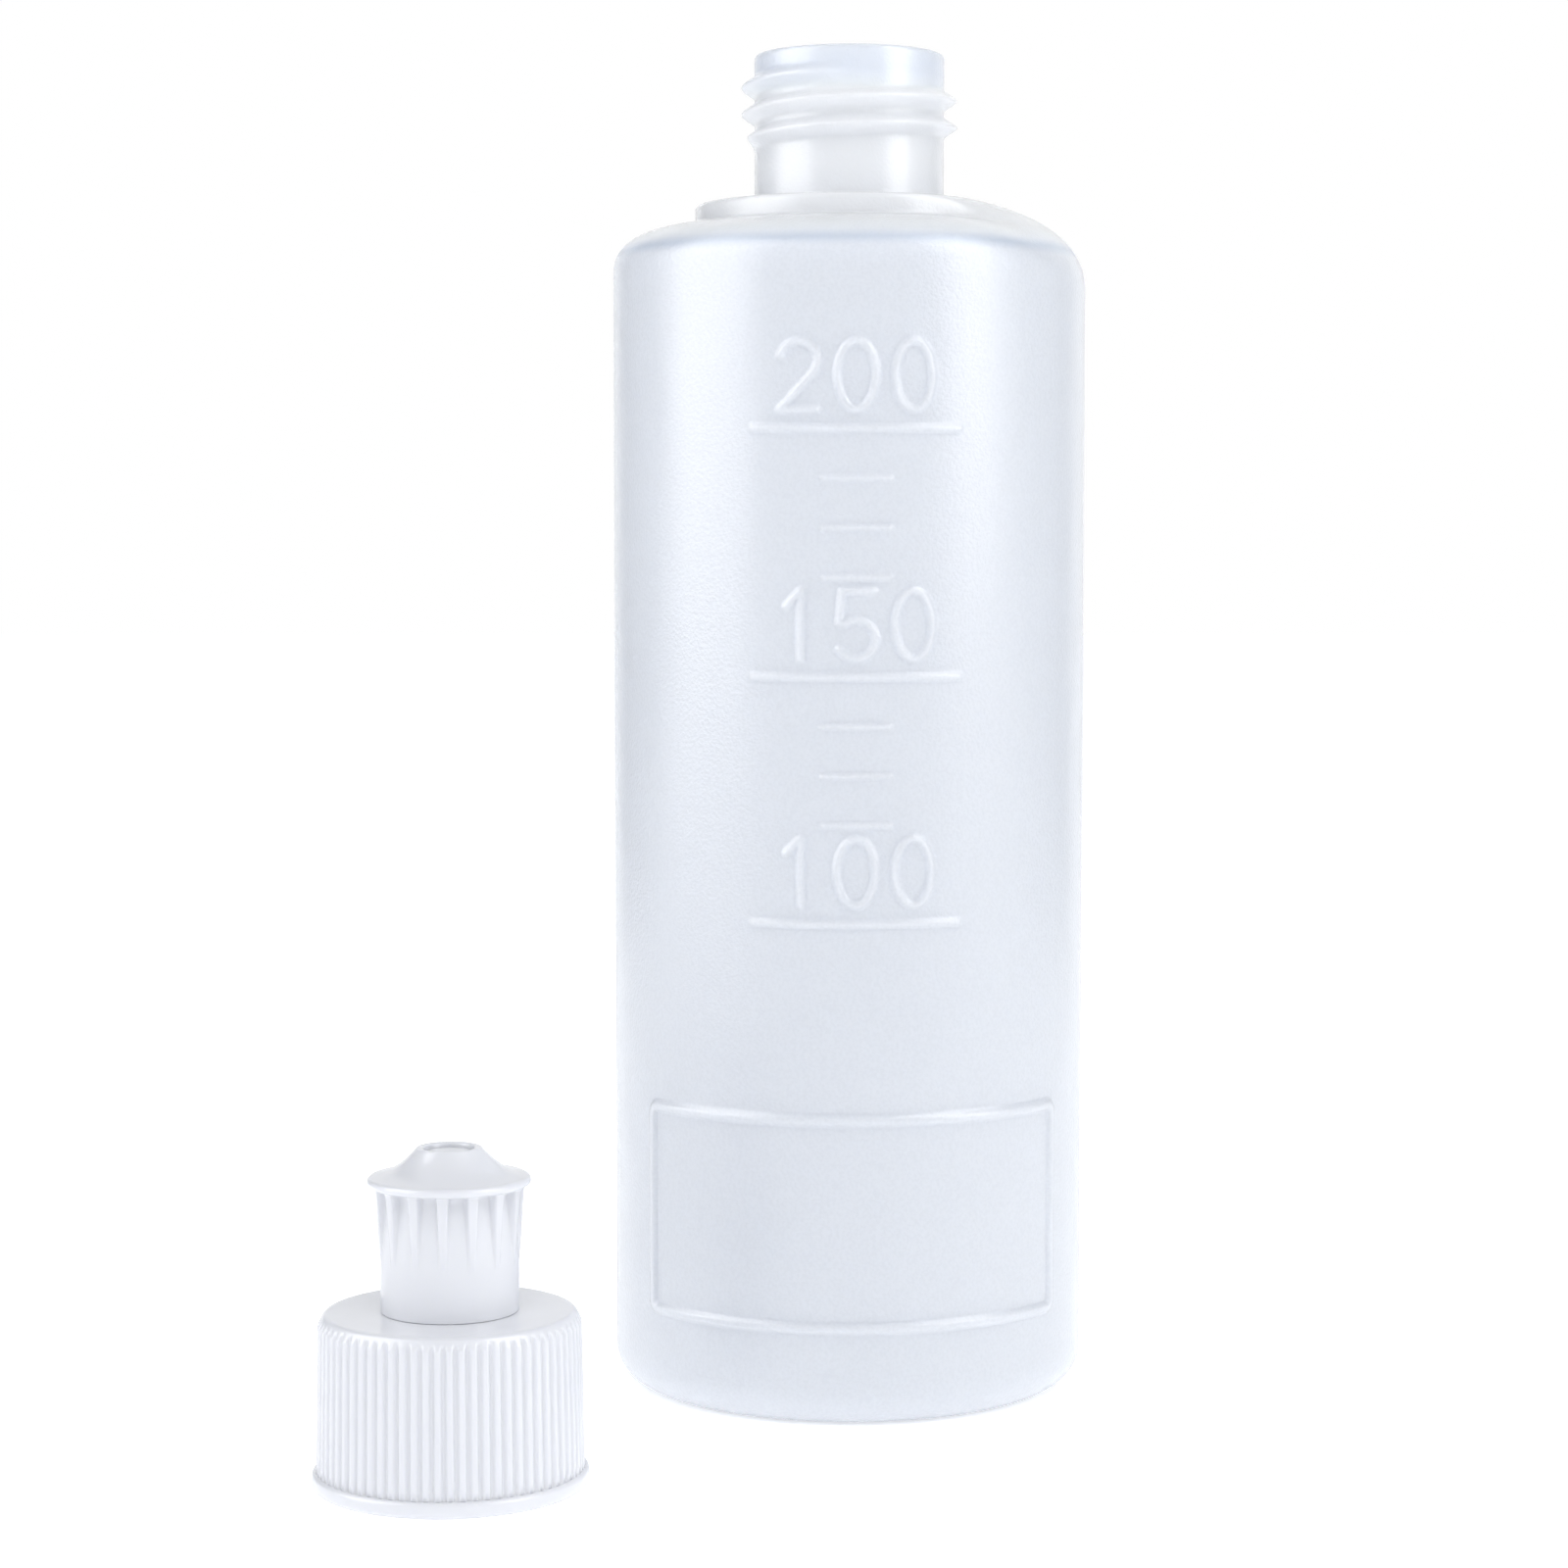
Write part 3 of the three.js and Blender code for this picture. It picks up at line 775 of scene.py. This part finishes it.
spoutSize = {
    "lift": 17.6,
    "height": 16.0,
    "barrel": 6.85,
    "bore": 5.5,
    "beadBore": 5.0,
    "beadHeight": 1.2,
    "beadEase": 1.3,             # times the bead's height, where the bore is full again
    "footEdge": 0.15,
    "footFlat": 0.6,             # the foot is flat from this far inside the barrel's face
    "brimRadius": 8.07,
    "brimLine": 12.7,
    "brimThickness": 0.9,
    "brimFlare": 1.0,
    "crownCurve": (5.4, 13.4),   # radius and height that the crown's hollow slope bends towards
    "tip": 3.2,
    "tipEdge": (0.08, 0.15),     # the slope ends this far outside and below the tip's rounding
    "tipRound": 0.2,
    "orificeEdge": 0.25,
    "orifice": 2.5,
    "orificeLength": 2.5,
    "crown": 2.3,
    "seat": 0.27,                # the barrel's foot rests this much lower, close on the deck
    "ribs": 15,
    "ribRelief": 0.55,
    "ribLength": 7.6,
    "ribWidth": 1.5,
    "ribFlank": 0.28,
    "ribTaper": 0.4,             # share of its width that a rib loses towards its foot
    "ribCurve": 0.8,             # how fast the ribs rise, 1 is a straight line
    "hollow": 0.55,              # the barrel is drawn in between the ribs, under the brim
    "hollowCurve": 1.5,
    "brimClear": 0.35,           # ribs and hollows stop this far inside the brim's edge
    "brimFade": 0.9,
    "columnsPerRib": 32,
}


def spoutOutline():
    size = spoutSize
    rim = size["brimThickness"] / 2
    rimCentre = size["brimRadius"] - rim
    under = size["brimLine"] - rim
    top = size["height"]
    orificeBottom = top - size["orificeLength"]
    crownBottom = orificeBottom - size["crown"]
    foot = -size["seat"]
    edge = size["footEdge"]
    points = [(size["beadBore"], edge), (size["beadBore"] + edge, 0)]
    points += straight(points[-1], (size["barrel"] - size["footFlat"], foot), 1)
    points += straight(points[-1], (size["barrel"] - edge, foot), 1)
    points += bend(points[-1], (size["barrel"], foot), (size["barrel"], foot + edge), 4)
    points += straight(points[-1], (size["barrel"], under - size["brimFlare"]), 0.3)
    points += bend(points[-1], (size["barrel"], under), (rimCentre, under), 8)
    points += arc((rimCentre, size["brimLine"]), rim, -90, 90, 14)[1:]
    tipAcross, tipDown = size["tipEdge"]
    points += bend(points[-1], size["crownCurve"], (size["tip"] + tipAcross, top - tipDown), 18)
    points += bend(points[-1], (size["tip"], top), (size["tip"] - size["tipRound"], top), 3)
    points += bend(points[-1], (size["orifice"], top), (size["orifice"], top - size["orificeEdge"]), 3)
    points += straight(points[-1], (size["orifice"], orificeBottom), 0.8)
    points += straight(points[-1], (size["bore"], crownBottom), 1)
    points += straight(points[-1], (size["bore"], size["beadHeight"] * size["beadEase"]), 3)
    points += straight(points[-1], (size["beadBore"], size["beadHeight"]), 1)
    return points


def makeSpout():
    size = spoutSize
    centre = axisOf("pull_spout")
    outline = np.array(spoutOutline())
    columns = size["ribs"] * size["columnsPerRib"]
    angles = np.arange(columns) * 2 * math.pi / columns
    radii = np.repeat(outline[:, :1], columns, axis=1)
    heights = outline[:, 1:2]
    # flat-topped grip ribs, narrower and lower down the barrel, the first one facing front
    pitch = 2 * math.pi / size["ribs"]
    offset = (angles / pitch + 0.5) % 1 - 0.5
    across = offset * pitch * size["barrel"]
    under = size["brimLine"] - size["brimThickness"] / 2
    grip = (outline[:, 0] > size["barrel"] - near) & (outline[:, 1] < size["brimLine"] + near)
    rise = np.clip((heights[grip] - (under - size["ribLength"])) / size["ribLength"], 0, 1)
    width = size["ribWidth"] / 2 * (1 - size["ribTaper"] * (1 - rise))
    rib = ridge(across[None, :], width, size["ribFlank"])
    stop = size["brimRadius"] - size["brimClear"]
    room = np.clip((stop - outline[grip, 0]) / size["brimFade"], 0, 1)[:, None]
    raised = size["ribRelief"] * rise ** size["ribCurve"] * rib
    drawnIn = size["hollow"] * rise ** size["hollowCurve"] * (1 - rib)
    radii[grip] += (raised - drawnIn) * room
    heights = heights + size["lift"]
    piece = turnedMesh("spout_shell", centre, radii, heights, angles, closedLoop=True)
    piece.data.materials.append(polypropylene)
    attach(piece, "spout")
    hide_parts("pull_spout")
    print("spout made:", len(piece.data.polygons), "faces")


makeSpout()

# Studio

studio = {
    "floorSize": 6,         # metres
    "floorColour": "#f7f8fa",
    "floorGlow": 0.53,      # makes the paper white to the camera and in reflections
    "floorBounce": 0.56,    # its part in the soft light on the pieces
    "contact": 10,          # reach of the close shadow at the pieces' feet, mm
    "contactShade": 0.37,
    "contactSamples": 2,
    "worldColour": "#f2f5fa",
    "worldLow": 0.84,       # soft light from the horizon, and from straight above
    "worldHigh": 0.45,
    "panelDistance": 650,
    "panelAim": 60,         # height above the floor that the panels face
    "panels": {             # turn from the camera and rise in degrees, width, height, glow
        "box_left": (-72, 28, 560, 700, 3.9),
        "box_right": (62, 31, 330, 700, 4.7),
        "fill_left": (-98, 5, 420, 420, 2.0),
        "fill_right": (96, 10, 420, 420, 1.65),
        "fill_front": (10, 58, 600, 400, 2.6),
    },
    "cards": {              # grey cards that the gloss picks up: turn, width, height, bottom, distance
        "left": (-125, 420, 700, 1, 480),
        "right": (112, 380, 700, 1, 480),
    },
    "cardColour": "#5c6168",
}


def seenDirectly(tree):
    # 1 for what the camera sees, also in gloss and through clear plastic
    path = addNode(tree, "ShaderNodeLightPath")
    seen = addNode(tree, "ShaderNodeMath", {"operation": "MAXIMUM"},
                   {0: path.outputs["Is Camera Ray"], 1: path.outputs["Is Glossy Ray"]})
    seen = addNode(tree, "ShaderNodeMath", {"operation": "MAXIMUM"},
                   {0: seen.outputs[0], 1: path.outputs["Is Transmission Ray"]})
    return seen.outputs[0]


def whiteGround(look):
    # matt white paper sweep: the camera and reflections see it white, and it keeps soft shadows
    material = bpy.data.materials.new("white_paper")
    material.use_nodes = True
    tree = material.node_tree
    tree.nodes.clear()
    level = addNode(tree, "ShaderNodeMapRange", {
        "To Min": look["floorBounce"], "To Max": look["floorGlow"],
    }, {"Value": seenDirectly(tree)})
    contact = addNode(tree, "ShaderNodeAmbientOcclusion", {
        "samples": look["contactSamples"], "Distance": look["contact"] * mm})
    shade = addNode(tree, "ShaderNodeMapRange", {"To Min": 1 - look["contactShade"]},
                    {"Value": contact.outputs["AO"]})
    glow = addNode(tree, "ShaderNodeMath", {"operation": "MULTIPLY"},
                   {0: level.outputs["Result"], 1: shade.outputs["Result"]})
    shader = addNode(tree, "ShaderNodeBsdfPrincipled", {
        "Base Color": linear(look["floorColour"]),
        "Roughness": 0.9,
        "Specular IOR Level": 0.0,
        "Emission Color": (1, 1, 1, 1),
    }, {"Emission Strength": glow.outputs[0]})
    addNode(tree, "ShaderNodeOutputMaterial", links={"Surface": shader.outputs["BSDF"]})
    return material


def besideCamera(degrees, distance, height):
    turn = math.radians(degrees)
    return (math.sin(turn) * distance * mm, -math.cos(turn) * distance * mm, height * mm)


def makePanel(name, look):
    # boxes show as highlights only, fills light the pieces without showing in the gloss
    turn, rise, width, height, glow = look["panels"][name]
    lamp = bpy.data.lights.new(name, "AREA")
    lamp.shape = "RECTANGLE"
    lamp.size = width * mm
    lamp.size_y = height * mm
    lamp.energy = glow * math.pi * width * height * mm * mm
    panel = bpy.data.objects.new(name, lamp)
    bpy.context.scene.collection.objects.link(panel)
    up = math.radians(rise)
    panel.location = besideCamera(turn, look["panelDistance"] * math.cos(up),
                                  look["panelAim"] + look["panelDistance"] * math.sin(up))
    panel.rotation_euler = (math.radians(90 - rise), 0, math.radians(turn))
    panel.visible_camera = False
    panel.visible_glossy = name.startswith("box")
    panel.visible_diffuse = not panel.visible_glossy


def makeStudio(look):
    bpy.ops.mesh.primitive_plane_add(size=look["floorSize"])
    floor = bpy.context.object
    floor.name = "paper_floor"
    floor.data.materials.append(whiteGround(look))
    world = bpy.data.worlds.new("studio")
    bpy.context.scene.world = world
    world.use_nodes = True
    tree = world.node_tree
    tree.nodes.clear()
    around = addNode(tree, "ShaderNodeTexCoord")
    height = addNode(tree, "ShaderNodeSeparateXYZ", links={0: around.outputs["Generated"]})
    level = addNode(tree, "ShaderNodeMapRange", {"To Min": look["worldLow"], "To Max": look["worldHigh"]},
                    {"Value": height.outputs["Z"]})
    soft = addNode(tree, "ShaderNodeBackground", {"Color": linear(look["worldColour"])},
                   {"Strength": level.outputs["Result"]})
    white = addNode(tree, "ShaderNodeBackground", {"Color": (1, 1, 1, 1), "Strength": 1.0})
    mix = addNode(tree, "ShaderNodeMixShader", links={
        0: seenDirectly(tree), 1: soft.outputs[0], 2: white.outputs[0]})
    addNode(tree, "ShaderNodeOutputWorld", links={"Surface": mix.outputs[0]})
    for name in look["panels"]:
        makePanel(name, look)
    grey = bpy.data.materials.new("grey_card")
    grey.use_nodes = True
    shader = grey.node_tree.nodes["Principled BSDF"]
    shader.inputs["Base Color"].default_value = linear(look["cardColour"])
    shader.inputs["Roughness"].default_value = 1.0
    for name, (turn, width, height, bottom, distance) in look["cards"].items():
        bpy.ops.mesh.primitive_plane_add(size=1)
        card = bpy.context.object
        card.name = "grey_card_" + name
        card.scale = (width * mm, height * mm, 1)
        card.location = besideCamera(turn, distance, bottom + height / 2)
        card.rotation_euler = (math.radians(90), 0, math.radians(turn))
        card.data.materials.append(grey)
        card.visible_camera = False
        card.visible_diffuse = False
        card.visible_shadow = False
    print("studio made")


camera = {
    "lens": 79.9,
    "sensor": 36,
    "clipStart": 0.01,             # metres
    "fromAxis": (-7.15, -385.6),   # across and towards the bottle's axis, mm
    "height": 93.5,
    "pitch": 4.045,
}


def makeCamera(look):
    data = bpy.data.cameras.new("camera")
    data.lens = look["lens"]
    data.sensor_width = look["sensor"]
    data.clip_start = look["clipStart"]
    view = bpy.data.objects.new("camera", data)
    bpy.context.scene.collection.objects.link(view)
    centre = axisOf("bottle")
    view.location = (centre[0] + look["fromAxis"][0] * mm, centre[1] + look["fromAxis"][1] * mm,
                     look["height"] * mm)
    view.rotation_euler = (math.radians(90 - look["pitch"]), 0, 0)
    bpy.context.scene.camera = view


makeStudio(studio)
makeCamera(camera)
bpy.context.scene.view_settings.view_transform = "Standard"
